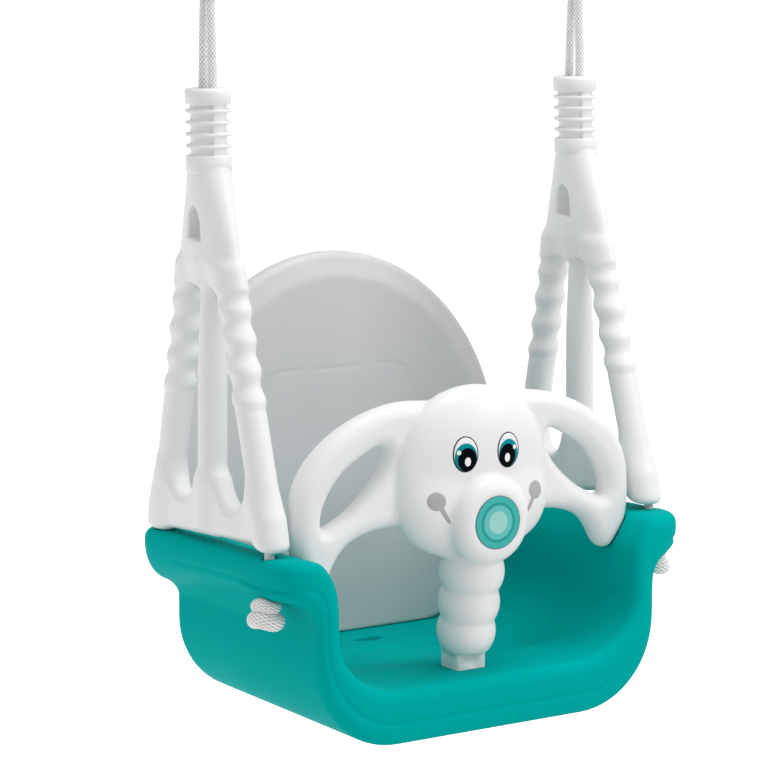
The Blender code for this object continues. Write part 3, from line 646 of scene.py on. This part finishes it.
def make_seat():
    f = Field((-0.232, FRONT - 0.009, -0.702), (0.232, REAR + 0.006, -0.518), 0.0015)
    x, y = np.abs(f.x), f.y
    rise = np.clip((f.z - FLOOR) / 0.110, 0, 1)
    # The arms climb towards the front while the floor stays level.
    forward = np.clip((REAR - y) / (REAR - FRONT), 0, 1)
    fine = np.arange(-0.702, -0.500, f.step, dtype=np.float32)

    def section(outline):
        """The outline's distance at each width and each fine level."""
        return outline_distance(x[:, :, :1], fine[None, None, :], outline)[:, 0, :]

    lifted = f.z + ARM_RISE * y * rise
    # Round the guard's foot the floor climbs a little towards the front edge.
    ramp = 0.0062 * fade(-y, 0.030, 0.088) * fade(-f.z, 0.590, 0.640)

    def sampled(flat, lifted):
        """The flat section read at the lifted heights."""
        place = np.clip((lifted - fine[0]) / f.step, 0, len(fine) - 1.001)
        base = np.floor(place).astype(int)
        share = (place - base).astype(np.float32)
        column = np.arange(flat.shape[0])[:, None, None]
        return flat[column, base] * (1 - share) + flat[column, base + 1] * share

    rear = sampled(section(outer_half(0.1715, -0.6925, 0.076, REAR_LOBE)), lifted)
    front = sampled(section(outer_half(0.1782, -0.6912, 0.080, FRONT_LOBE)), lifted)
    outer = rear * (1 - forward) + front * forward
    rear, front = (sampled(section(hollow_half(wall)), lifted - ramp) for wall in (0.152, 0.156))
    hollow = rear * (1 - forward) + front * forward
    # Round the front rope's hole the arm's underside is thicker.
    pad = f.ball((0.2000, FRONT_HOLE[1] + 0.004, -0.5490), (0.0168, 0.0420, 0.0086))
    other_pad = f.ball((-0.2000, FRONT_HOLE[1] + 0.004, -0.5490), (0.0168, 0.0420, 0.0086))
    outer = blend(outer, np.minimum(pad, other_pad), 0.006)
    middle = (outer + hollow) / 2
    body = common(outer, -hollow, 0.006)
    edge = np.where(y < 0, 0.0122, 0.0085)
    ends = np.maximum(FRONT - y, y - REAR)
    body = plate(body, ends, edge)
    corner = np.where(y < 0, 0.044, 0.040)
    plan_x = x - ARM_REACH + corner
    plan_y = np.where(y < 0, FRONT - 0.004 - y, y - REAR - 0.004) + corner
    plan = np.sqrt(np.maximum(plan_x, 0) ** 2 + np.maximum(plan_y, 0) ** 2)
    plan = plan + np.minimum(np.maximum(plan_x, plan_y), 0) - corner
    body = common(body, plan, 0.012)
    # The mould's parting line: along each arm, down the front corner, and round the front edge.
    side_line = [(REAR + 0.01, -0.5535), (0.04, -0.5500), (-0.05, -0.5452), (-0.085, -0.5458)]
    side_line += [(-0.118, -0.5468), (-0.150, -0.5440)]
    line = line_distance(y, f.z, through(side_line, 5))
    on_side = fade(x, 0.168, 0.176) * fade(y, -0.1450, -0.1380) * fade(-y, -0.050, -0.036)
    body = body + grooved(line) * on_side
    front_line = [(0.2150, -0.5445), (0.2057, -0.5438), (0.1955, -0.5434), (0.1860, -0.5448)]
    front_line += [(0.1785, -0.5500), (0.1735, -0.5600), (0.1715, -0.5740), (0.1708, -0.5920)]
    line = line_distance(x[:, :, :1], f.z, through(front_line, 5))
    on_front = fade(-y, 0.1380, 0.1450)
    body = body + grooved(line) * on_front * fade(f.z, -0.590, -0.582)
    body = body + grooved(middle - 0.004) * on_front * fade(-f.z, 0.582, 0.590)
    # The floor's cross channel and the crease behind it.
    on_floor = fade(-f.z, 0.640, 0.646) * fade(-x, -0.125, -0.105)
    body = body + 0.0012 * np.exp(-(((y - 0.006) / 0.007) ** 2)) * on_floor
    body = body + 0.0010 * np.exp(-(((y - 0.0145) / 0.0014) ** 2)) * on_floor
    drain = np.sqrt((f.x / 0.0145) ** 2 + ((y - 0.050) / 0.0070) ** 2) * 0.007 - 0.007
    body = carve(body, np.maximum(drain, FLOOR - 0.0055 - f.z), 0.0012)
    # Each pocket follows the ear's tip with a hair of play.
    tip = outline_distance(x[:, :, :1], f.z, flowing(EAR)) - 0.0007
    pocket = plate(tip, np.abs(y - GUARD_Y) - EAR_HALF - 0.0007, 0.0132)
    body = carve(body, np.maximum(pocket, 0.120 - x), 0.0015)
    foot = f.block((-0.0155, FOOT_Y - 0.0145, FOOT_END - 0.001), (0.0155, FOOT_Y + 0.0145, -0.60), 0.003)
    body = carve(body, foot, 0.0015)
    for side in (-1, 1):
        for hole_x, hole_y, low in ((*FRONT_HOLE, -0.60), (*REAR_HOLE, -0.560)):
            way = np.maximum(f.upright(side * hole_x, hole_y, 0.0060), low - f.z)
            body = carve(body, way, 0.0012)
        slot = f.block(
            (side * 0.070 - 0.021, BACK_FOOT_Y + 0.005, -0.669),
            (side * 0.070 + 0.021, BACK_FOOT_Y + 0.018, -0.60),
            0.002,
        )
        body = carve(body, slot, 0.001)
    seat = solid("seat_moulding", f, body, TEAL, "swing", "seat_shell")


# ---------------------------------------------------------------- backrest


def make_backrest():
    f = Field((-0.190, 0.076, -0.672), (0.190, 0.150, -0.288), 0.0016)
    x = np.abs(f.x)
    dome = [(0.183 * math.cos(t), -0.495 + 0.200 * math.sin(t))
            for t in (math.pi / 2 * i / 30 for i in range(31))]
    outline = [(-0.25, -0.6560), (0.082, -0.6560), (0.104, -0.6480), (0.124, -0.632)]
    outline += [(0.137, -0.612), (0.1445, -0.580), (0.148, -0.548), (0.1490, -0.537)]
    outline += [(0.1520, -0.5300), (0.158, -0.5262), (0.168, -0.5252), (0.176, -0.5240)]
    outline += [(0.1812, -0.5200), (0.183, -0.512)] + dome + [(-0.25, -0.295)]
    profile = outline_distance(x, f.z, outline)
    deep = f.y - BACK_FOOT_Y - BACK_LEAN * (f.z + 0.648)
    # The front slopes back towards the edge, all round but at the foot.
    open_foot = [(-0.25, -0.75), (0.1385, -0.75), (0.1400, -0.612)] + outline[5:]
    dish = 0.0040 * fade(outline_distance(x, f.z, open_foot), -0.025, -0.004)
    bowl = 0.0030 * np.clip(1 - (x / 0.165) ** 2 - ((f.z + 0.480) / 0.175) ** 2, 0, 1)
    lines = np.minimum(
        line_distance(x, f.z, [(0.0, -0.4025), (0.026, -0.4025)]),
        line_distance(x, f.z, [(0.040, -0.4015), (0.064, -0.4025), (0.0765, -0.408), (0.0800, -0.430)]),
    )
    groove = 0.0004 * np.exp(-((lines / 0.0012) ** 2))
    body = plate(profile, np.maximum(dish + bowl + groove - deep, deep - 0.024), 0.0072)
    body = np.maximum(body, -0.6490 - f.z)
    for side in (-1, 1):
        tab = f.block(
            (side * 0.070 - 0.020, BACK_FOOT_Y + 0.006, -0.667),
            (side * 0.070 + 0.020, BACK_FOOT_Y + 0.017, -0.640),
            0.0025,
        )
        body = blend(body, tab, 0.002)
    # Two shallow panels stiffen the back.
    rear_panel = outline_distance(x, f.z, [(p[0] * 0.80, -0.49 + (p[1] + 0.49) * 0.80) for p in outline])
    hollow = np.maximum(rear_panel, 0.0215 - deep)
    rib = plate(np.abs(f.x) - 0.006, np.abs(f.z + 0.47) - 0.3, 0.001)
    body = carve(body, np.maximum(hollow, -rib), 0.004)
    back = solid("backrest_moulding", f, body, GREY, "backrest", "backrest")


# ---------------------------------------------------------------- guard

HEAD = (0, -0.114, -0.4690)
MUZZLE_Z = -0.506
MUZZLE_FACE = -0.156

EAR = (
    (0.010, -0.405), (0.036, -0.4035), (0.066, -0.4020), (0.092, -0.4060), (0.117, -0.4145),
    (0.139, -0.4265), (0.157, -0.4415), (0.1695, -0.4580), (0.1758, -0.4750), (0.1778, -0.4940),
    (0.1778, -0.5130), (0.1740, -0.5310), (0.1660, -0.5440), (0.1575, -0.5525), (0.1490, -0.5525),
    (0.1425, -0.5455), (0.1358, -0.5335), (0.1252, -0.5220), (0.1075, -0.5140), (0.0850, -0.5105),
    (0.0600, -0.5110), (0.010, -0.5080),
)
EAR_HOLE = (
    (0.0860, -0.4400), (0.0945, -0.4385), (0.1090, -0.4450), (0.1270, -0.4565), (0.1405, -0.4715),
    (0.1485, -0.4870), (0.1505, -0.4990), (0.1470, -0.5045), (0.1350, -0.5000), (0.1200, -0.4915),
    (0.1045, -0.4790), (0.0915, -0.4640), (0.0845, -0.4490),
)


def guard_field():
    f = Field((-0.186, -0.166, -0.674), (0.186, -0.074, -0.384), 0.0014)
    x = np.abs(f.x)
    ear = outline_distance(x, f.z, flowing(EAR))
    hole = outline_distance(x, f.z, flowing(EAR_HOLE))
    profile = np.maximum(ear, -hole)
    across = np.abs(f.y - GUARD_Y) - EAR_HALF
    ears = plate(profile, across, 0.0132)
    crown = f.ball((0, -0.1135, -0.4400), (0.0620, 0.0250, 0.0440))
    skull = f.ball(HEAD, (0.0785, 0.0265, 0.0770))
    cheek = f.ball((0, -0.1150, -0.4960), (0.0680, 0.0255, 0.0400))
    cheeks = np.minimum(
        f.ball((-0.0400, -0.1160, -0.4965), (0.0330, 0.0235, 0.0330)),
        f.ball((0.0400, -0.1160, -0.4965), (0.0330, 0.0235, 0.0330)),
    )
    head = blend(blend(blend(skull, crown, 0.012), cheek, 0.012), cheeks, 0.012)
    body = blend(head, ears, 0.0022)
    snout = plate(
        np.sqrt(f.x**2 + (f.z - MUZZLE_Z) ** 2) - 0.0392,
        np.maximum(MUZZLE_FACE - f.y, f.y + 0.10),
        0.0145,
    )
    body = blend(body, snout, 0.0045)
    trunk = None
    for y, z, radius in ((-0.117, -0.555, 0.0288), (-0.1125, -0.5835, 0.0275), (-0.1085, -0.6100, 0.0262)):
        bulge = f.ball((0, y, z), (radius, radius, radius * 1.02))
        bulge = np.maximum(bulge, np.abs(f.z - z + 0.001) - radius * 0.66)
        trunk = bulge if trunk is None else blend(trunk, bulge, 0.0022)
    body = blend(body, trunk, 0.0035)
    foot = f.block((-0.0152, FOOT_Y - 0.0142, FOOT_END), (0.0152, FOOT_Y + 0.0142, -0.612), 0.0030)
    scoop = f.ball((0, FOOT_Y - 0.0215, -0.6335), (0.0095, 0.0125, 0.0110))
    foot = carve(foot, scoop, 0.002)
    body = blend(body, foot, 0.004)
    seat_of_disc = plate(
        np.sqrt(f.x**2 + (f.z - MUZZLE_Z) ** 2) - 0.0236, f.y - MUZZLE_FACE - 0.0008, 0.0002
    )
    body = carve(body, seat_of_disc, 0.0008)
    return f, body


def front_skin(f, distance):
    """For each (x, z), how far forward the solid's front lies."""
    full = np.broadcast_to(distance, f.shape)
    solid_here = full < 0
    first = np.argmax(solid_here, axis=1)
    first = np.maximum(first, 1)
    column, row = np.indices(first.shape)
    inner = full[column, first, row]
    outer = full[column, first - 1, row]
    share = outer / np.maximum(outer - inner, 1e-9)
    return f.low[1] + f.step * (first - 1 + share)


def on_skin(f, skin, x, z):
    """The skin's height at (x, z), between grid points."""
    u = (x - f.low[0]) / f.step
    w = (z - f.low[2]) / f.step
    i, k = int(math.floor(u)), int(math.floor(w))
    a, b = u - i, w - k
    low = skin[i, k] * (1 - a) + skin[i + 1, k] * a
    high = skin[i, k + 1] * (1 - a) + skin[i + 1, k + 1] * a
    return low * (1 - b) + high * b


def decal(name, f, skin, centre, outline, lift, material, body, node=None):
    """A thin printed shape on the skin: outline(turn) gives the edge's offset from centre."""
    rings, sides = 9, 56
    points, faces = [], []
    for layer in (0.0, 0.00025):
        for ring in range(rings + 1):
            for k in range(sides):
                dx, dz = outline(2 * math.pi * k / sides)
                x = centre[0] + dx * ring / rings
                z = centre[1] + dz * ring / rings
                drop = 0.00012 if (ring == rings and layer == 0.0) else 0
                points.append((x, on_skin(f, skin, x, z) - lift + layer + drop, z))
    layer_size = (rings + 1) * sides
    for layer in range(2):
        for ring in range(rings):
            for k in range(sides):
                a = layer * layer_size + ring * sides + k
                b = layer * layer_size + ring * sides + (k + 1) % sides
                quad = (a, b, b + sides, a + sides)
                faces.append(quad if layer else quad[::-1])
    for k in range(sides):
        a = rings * sides + k
        b = rings * sides + (k + 1) % sides
        faces.append((a, b, b + layer_size, a + layer_size))
    made = mesh_object(name, points, faces, material, body, node)
    return made


def oval(rx, rz, tilt=0.0):
    c, s = math.cos(tilt), math.sin(tilt)
    return lambda t: (rx * math.cos(t) * c - rz * math.sin(t) * s,
                      rx * math.cos(t) * s + rz * math.sin(t) * c)


def make_face(f, skin):
    for name, side in (("left", -1), ("right", 1)):
        eye = Vector((side * 0.0224 - 0.0008, -0.4465))
        wide, tall = 0.0123, 0.0156
        node = f"{name}_eye"
        parts = (
            ("outline", 0, 0, 1, 1, 0.00035, INK),
            ("white", 0, 0, 0.92, 0.94, 0.00050, PAPER),
            ("iris", 0, -0.16, 0.88, 0.78, 0.00065, IRIS),
            ("pupil", 0.10, -0.30, 0.74, 0.66, 0.00080, INK),
            ("glint", 0.13, -0.42, 0.24, 0.25, 0.00095, PAPER),
            ("spark", -0.56, 0.12, 0.17, 0.13, 0.00095, PAPER),
        )
        for part, dx, dz, rx, rz, lift, material in parts:
            centre = (eye.x - side * dx * wide, eye.y + dz * tall)
            decal(f"{name}_eye_{part}", f, skin, centre, oval(wide * rx, tall * rz), lift,
                  material, "guard", node if part == "outline" else None)
        spot = Vector((side * 0.0522, -0.4850))
        end = Vector((side * 0.0405, -0.5050))
        along = (end - spot).normalized()
        tilt = math.atan2(along.y, along.x)
        decal(f"{name}_smile_spot", f, skin, tuple(spot), oval(0.0080, 0.0078), 0.00045,
              GREY_INK, "guard", f"{name}_smile_mark")
        middle = (spot + end) / 2
        decal(f"{name}_smile_line", f, skin, tuple(middle), oval((end - spot).length / 2, 0.0019, tilt),
              0.00040, GREY_INK, "guard", None)


def make_nose_disc():
    """Five flat printed rings, each a hair prouder than the one outside it."""
    sizes = (0.0234, 0.0226, 0.0176, 0.0150, 0.0098)
    for i, (size, material) in enumerate(zip(sizes, RINGS)):
        top = MUZZLE_FACE - 0.0002 - 0.00016 * i
        rows = ((size, MUZZLE_FACE + 0.0006), (size, top + 0.00015), (size - 0.0002, top), (0.0, top))
        points, sides = [], 64
        for radius, y in rows:
            for k in range(sides):
                t = 2 * math.pi * k / sides
                points.append((radius * math.cos(t), y, MUZZLE_Z + radius * math.sin(t)))
        faces = ring_quads(len(rows), sides)
        made = mesh_object(f"nose_ring_{i}", points, faces, material, "guard",
                           "nose_disc" if i == 0 else None, smooth=False)


def make_guard():
    f, body = guard_field()
    guard = solid("guard_moulding", f, body, WHITE, "guard", "front_guard")
    make_face(f, front_skin(f, body))
    make_nose_disc()


# ---------------------------------------------------------------- hangers

LEG_R = 0.0134
BUMP = 0.0014
BUMP_TOP = -0.3175
BUMP_PITCH = 0.0253
BUMPS = 4
BOSS_END = -0.5160


def hanger_field():
    f = Field((0.172, -0.128, -0.536), (0.222, 0.096, -0.190), 0.0014)
    axis_x, axis_y = hanger_axis(f.z)
    wave = 0.5 + 0.5 * np.cos(2 * math.pi * (f.z - BUMP_TOP) / BUMP_PITCH)
    ringed = fade(f.z, BUMP_TOP - (BUMPS - 0.5) * BUMP_PITCH, BUMP_TOP - (BUMPS - 1) * BUMP_PITCH)
    ringed = ringed * fade(-f.z, -BUMP_TOP - 0.5 * BUMP_PITCH, -BUMP_TOP)
    body = None
    for line, low, high in ((front_leg, BOSS_END, -0.281), (rear_leg, -0.5245, -0.281)):
        x, y = line(f.z)
        size = LEG_R + ringed * BUMP * (2 * wave - 1)
        leg = np.sqrt(((f.x - x) * 1.03) ** 2 + ((f.y - y) * 0.963) ** 2) - size
        leg = plate(leg, np.maximum(low - f.z, f.z - high), 0.005)
        body = leg if body is None else np.minimum(body, leg)
    strut = np.sqrt((f.x - axis_x) ** 2 + (f.y - axis_y + 0.004) ** 2)
    strut = strut - 0.0128 + 0.0030 * fade(f.z, -0.38, -0.28)
    strut = np.maximum(strut, np.maximum(-0.510 - f.z, f.z + 0.26))
    depths = (0.196, 0.205, 0.230, 0.255, 0.280, 0.298)
    wide = np.interp(-f.z, depths, (0.0195, 0.0215, 0.0300, 0.0385, 0.0456, 0.0486))
    thick = np.interp(-f.z, depths, (0.0188, 0.0185, 0.0178, 0.0172, 0.0164, 0.0132))
    across = np.sqrt(((f.x - axis_x) / thick) ** 2 + ((f.y - axis_y) / wide) ** 2)
    cone = (across - 1) * thick
    cone = np.maximum(cone, np.maximum(-0.300 - f.z, f.z + 0.196))
    web = [(front_leg(-0.5)[1] - 0.0115, -0.5112), (0.0885, -0.5255), (0.0870, -0.500)]
    rear_notch = [(0.0660, -0.462), (0.0520, -0.476), (0.0400, -0.4875), (0.0270, -0.4900)]
    rear_notch += [(0.0150, -0.482), (0.0060, -0.466)]
    front_notch = [(-0.0260, -0.466), (-0.0370, -0.481), (-0.0500, -0.4905), (-0.0620, -0.489)]
    front_notch += [(-0.0720, -0.478), (-0.0860, -0.462)]
    web += [tuple(p) for p in through(rear_notch, 5)] + [tuple(p) for p in through(front_notch, 5)]
    web += [(-0.112, -0.490)]
    base = plate(outline_distance(f.y, f.z, web), np.abs(f.x - axis_x) - 0.0105, 0.0070)
    body = blend(body, strut, 0.008)
    body = blend(body, cone, 0.010)
    body = blend(body, base, 0.013)
    arch = [(-0.0105, -0.2625), (0.0105, -0.2605), (0.0088, -0.2450), (0.0060, -0.2370)]
    arch += [(0.0, -0.2320), (-0.0060, -0.2370), (-0.0088, -0.2450)]
    middle = hanger_axis(-0.248)[1]
    window = outline_distance(f.y, f.z, [(y + middle, z) for y, z in arch])
    body = carve(body, window, 0.0025)
    for line, low in ((front_leg, -0.53), (rear_leg, -0.54)):
        x, y = line(f.z)
        bore = np.sqrt((f.x - x) ** 2 + (f.y - y) ** 2) - 0.0062
        body = carve(body, np.maximum(bore, f.z + 0.490), 0.001)
    seam = np.exp(-(((f.y - axis_y) / 0.0012) ** 2)) * fade(f.x, 0.2, 0.204)
    body = body - 0.0003 * seam * fade(f.z, -0.30, -0.28)
    return f, body


def neck_profile():
    """(radius, height) up the outside of the turned neck and down into its bore."""
    top = NECK_TOP
    rows = [(0.0150, -0.2075), (0.0188, -0.2052), (0.0202, -0.2030), (0.0202, -0.1915)]
    rows += [(0.0196, -0.1902), (0.0160, -0.1894)]
    for ring in (3, 2, 1, 0):
        level = top - 0.0195 - 0.0100 * ring
        rows += [(0.0158, level - 0.0032), (0.0165, level - 0.0020), (0.0193, level - 0.0015)]
        rows += [(0.0200, level - 0.0007), (0.0200, level + 0.0007), (0.0193, level + 0.0015)]
        rows += [(0.0165, level + 0.0020), (0.0158, level + 0.0032)]
    rows += [(0.0160, top - 0.0146), (0.0192, top - 0.0140), (0.0201, top - 0.0128)]
    rows += [(0.0202, top - 0.0034), (0.0194, top - 0.0012), (0.0175, top - 0.0002), (0.0146, top)]
    rows += [(0.0131, top - 0.0010), (0.0128, top - 0.0030), (0.0125, top - 0.040), (0.0, top - 0.041)]
    return rows


def make_hanger(name, side, field, body):
    hanger = solid(f"{name}_moulding", field, body, WHITE, "swing", name, mirror=side < 0)
    points, sides = [], 72
    rows = neck_profile()
    for radius, z in rows:
        x, y = hanger_axis(z)
        for k in range(sides):
            t = 2 * math.pi * k / sides
            # A rib runs up the mould's two parting lines, over the grooves between the rings.
            rib = abs(math.sin(t)) > 0.962 and radius > 0.0155
            size = max(radius, 0.0186) if rib and z < NECK_TOP - 0.004 else radius
            points.append((side * x + size * math.cos(t), y + size * math.sin(t), z))
    faces = ring_quads(len(rows), sides)
    faces.append(list(range(sides))[::-1])
    neck = mesh_object(f"{name}_neck", points, faces, WHITE, "swing")
    neck.data.set_sharp_from_angle(angle=math.radians(50))


# ---------------------------------------------------------------- snap hooks

HOOK_R = 0.013
HOOK_TOP = 0.062
GATE_LOW = 0.0210
GATE_HIGH = 0.0560


def make_hardware(name, side):
    route = [(-HOOK_R, 0.0158)] + arc((0, HOOK_R), HOOK_R, 180, 360, 30)
    route += [(HOOK_R, 0.030), (HOOK_R, 0.046)] + arc((0, HOOK_TOP), HOOK_R, 0, 180, 30)
    route.append((-HOOK_R, GATE_HIGH + 0.0008))
    path = [(side * (ROPE_X + x), 0, z) for x, z in route]
    points, faces = tube(path, 28, 0.0040)
    hook = mesh_object(f"{name}_snap_hook_wire", points, faces, ZINC, "hooks", f"{name}_snap_hook")
    hook.data.set_sharp_from_angle(angle=math.radians(50))
    x = side * (ROPE_X - HOOK_R)
    rows = [(0.0, GATE_LOW - 0.0022), (0.0030, GATE_LOW - 0.0022), (0.0037, GATE_LOW - 0.0014)]
    rows += [(0.0038, GATE_LOW + 0.004), (0.0038, GATE_HIGH - 0.006), (0.0034, GATE_HIGH - 0.0055)]
    rows += [(0.0034, GATE_HIGH - 0.0045), (0.0038, GATE_HIGH - 0.004), (0.0038, GATE_HIGH - 0.0006)]
    rows += [(0.0032, GATE_HIGH), (0.0, GATE_HIGH)]
    turned(f"{name}_hook_gate_tube", (x, 0), rows, ZINC, "left_gate" if side < 0 else "right_gate",
           f"{name}_hook_gate")
    points, faces = tube([(x, -0.0044, GATE_LOW), (x, -0.0041, GATE_LOW), (x, 0.0041, GATE_LOW),
                          (x, 0.0044, GATE_LOW)], 20, 0.0015)
    pin = mesh_object(f"{name}_gate_pin_rivet", points, faces, ZINC, "hooks", f"{name}_gate_pin")


def turned(name, centre, rows, material, body, node, sides=40):
    """A profile of (radius, height) turned about an upright line."""
    points = []
    for radius, z in rows:
        for k in range(sides):
            t = 2 * math.pi * k / sides
            points.append((centre[0] + radius * math.cos(t), centre[1] + radius * math.sin(t), z))
    made = mesh_object(name, points, ring_quads(len(rows), sides), material, body, node)
    made.data.set_sharp_from_angle(angle=math.radians(40))
    return made


def make_thimble(name, side):
    """The grooved eye, turned about a line along X."""
    half, rim, hole = 0.0048, 0.0158, 0.0105
    groove = [p for p in arc((0, LOOP_R), ROPE_R + 0.0004, -152, -28, 16) if p[1] < rim]
    profile = [(half - 0.001, hole), (-half + 0.001, hole), (-half, hole + 0.001)]
    profile += [(-half, rim - 0.0008), (-half + 0.0003, rim)] + groove
    profile += [(half - 0.0003, rim), (half, rim - 0.0008), (half, hole + 0.001)]
    points, faces, steps = [], [], 72
    for step in range(steps):
        turn = 2 * math.pi * step / steps
        for x, r in profile:
            points.append((side * ROPE_X + x, r * math.cos(turn), LOOP_Z + r * math.sin(turn)))
    count = len(profile)
    for step in range(steps):
        for i in range(count):
            a, b = step * count + i, step * count + (i + 1) % count
            c, d = (step + 1) % steps * count + (i + 1) % count, (step + 1) % steps * count + i
            faces.append((a, b, c, d))
    made = mesh_object(f"{name}_thimble_eye", points, faces, NYLON, "swing", f"{name}_thimble")
    made.data.set_sharp_from_angle(angle=math.radians(40))


def make_clamp(name, side):
    """The pressed sleeve round both strands, with three crimps."""
    rows = []
    levels = 22
    for i in range(levels + 1):
        z = -0.057 + 0.014 * i / levels
        dent = 0.0004 * max(0.0, math.sin(3 * math.pi * i / levels)) ** 2
        edge = 0.0005 * (1 if i in (0, levels) else 0)
        rows.append((z, 0.0064 - dent - edge))
    points, faces = [], []
    turns = arc((0, 0.0047), 1, 0, 180, 14) + arc((0, -0.0047), 1, 180, 360, 14)
    sides = len(turns)
    for z, size in [*rows, (-0.043, 0.0045), (-0.057, 0.0045)]:
        for k in range(sides):
            angle = math.pi * k / 14 if k <= 14 else math.pi + math.pi * (k - 15) / 14
            centre = 0.0047 if k <= 14 else -0.0047
            points.append((side * ROPE_X + size * math.cos(angle), centre + size * math.sin(angle), z))
    count = len(rows) + 2
    for row in range(count):
        for k in range(sides):
            a, b = row * sides + k, row * sides + (k + 1) % sides
            after = (row + 1) % count * sides - row * sides
            faces.append((a, b, b + after, a + after))
    made = mesh_object(f"{name}_clamp_sleeve", points, faces, ZINC, "swing", f"{name}_rope_clamp")
    made.data.set_sharp_from_angle(angle=math.radians(45))


# ---------------------------------------------------------------- everything

for label, sign in (("left", -1), ("right", 1)):
    make_rope(f"{label}_rope", sign)

make_seat()
make_backrest()
make_guard()
hanger_grid, hanger_body = hanger_field()
for label, sign in (("left", -1), ("right", 1)):
    make_hanger(f"{label}_hanger", sign, hanger_grid, hanger_body)
    make_knot(f"{label}_front_knot", sign, FRONT_KNOT, *FRONT_KNOT_SIZE)
    make_knot(f"{label}_rear_knot", sign, REAR_KNOT, *REAR_KNOT_SIZE)
    make_hardware(label, sign)
    make_thimble(label, sign)
    make_clamp(label, sign)


# ---------------------------------------------------------------- studio


FLOOR_LEVEL = -1.10
FLOOR_GLOW = 0.70
SKY = 0.66


def make_stage():
    """A wide pale floor well below the hanging seat, brighter far behind it."""
    reach = 60.0
    corners = [(x * reach, y * reach, FLOOR_LEVEL) for x, y in ((-1, -1), (1, -1), (1, 1), (-1, 1))]
    mesh = bpy.data.meshes.new("floor")
    mesh.from_pydata(corners, [], [(0, 1, 2, 3)])
    floor = bpy.data.objects.new("floor", mesh)
    bpy.context.collection.objects.link(floor)
    # The floor's glow fades out under the object, so the light from below stays soft.
    made, tree, shader = shader_of("floor_paint", (0.90, 0.90, 0.90), 0.95)
    shader.inputs["Emission Color"].default_value = (1, 1, 1, 1)
    place = tree.nodes.new("ShaderNodeTexCoord")
    split = tree.nodes.new("ShaderNodeSeparateXYZ")
    glow = tree.nodes.new("ShaderNodeMapRange")
    glow.interpolation_type = "SMOOTHSTEP"
    glow.inputs["From Min"].default_value = -0.2
    glow.inputs["From Max"].default_value = 1.0
    glow.inputs["To Min"].default_value = 0.0
    glow.inputs["To Max"].default_value = FLOOR_GLOW
    tree.links.new(place.outputs["Object"], split.inputs["Vector"])
    tree.links.new(split.outputs["Y"], glow.inputs["Value"])
    tree.links.new(glow.outputs["Result"], shader.inputs["Emission Strength"])
    mesh.materials.append(made)


def area_light(name, place, target, size, power):
    data = bpy.data.lights.new(name, "AREA")
    data.shape = "DISK"
    data.size = size
    data.energy = power
    light = bpy.data.objects.new(name, data)
    light.location = place
    light.rotation_euler = (Vector(place) - Vector(target)).to_track_quat("Z", "Y").to_euler()
    bpy.context.collection.objects.link(light)


def make_lights():
    world = bpy.data.worlds.new("studio")
    bpy.context.scene.world = world
    world.use_nodes = True
    world.node_tree.nodes["Background"].inputs["Color"].default_value = (1, 1, 1, 1)
    world.node_tree.nodes["Background"].inputs["Strength"].default_value = SKY
    centre = (0, 0, -0.45)
    area_light("key", (1.5, -1.8, 0.9), centre, 1.1, 18)
    area_light("top", (0.3, -0.3, 1.6), centre, 1.3, 19)


make_stage()
make_lights()
bpy.context.scene.view_settings.view_transform = "Standard"
bpy.context.view_layer.update()
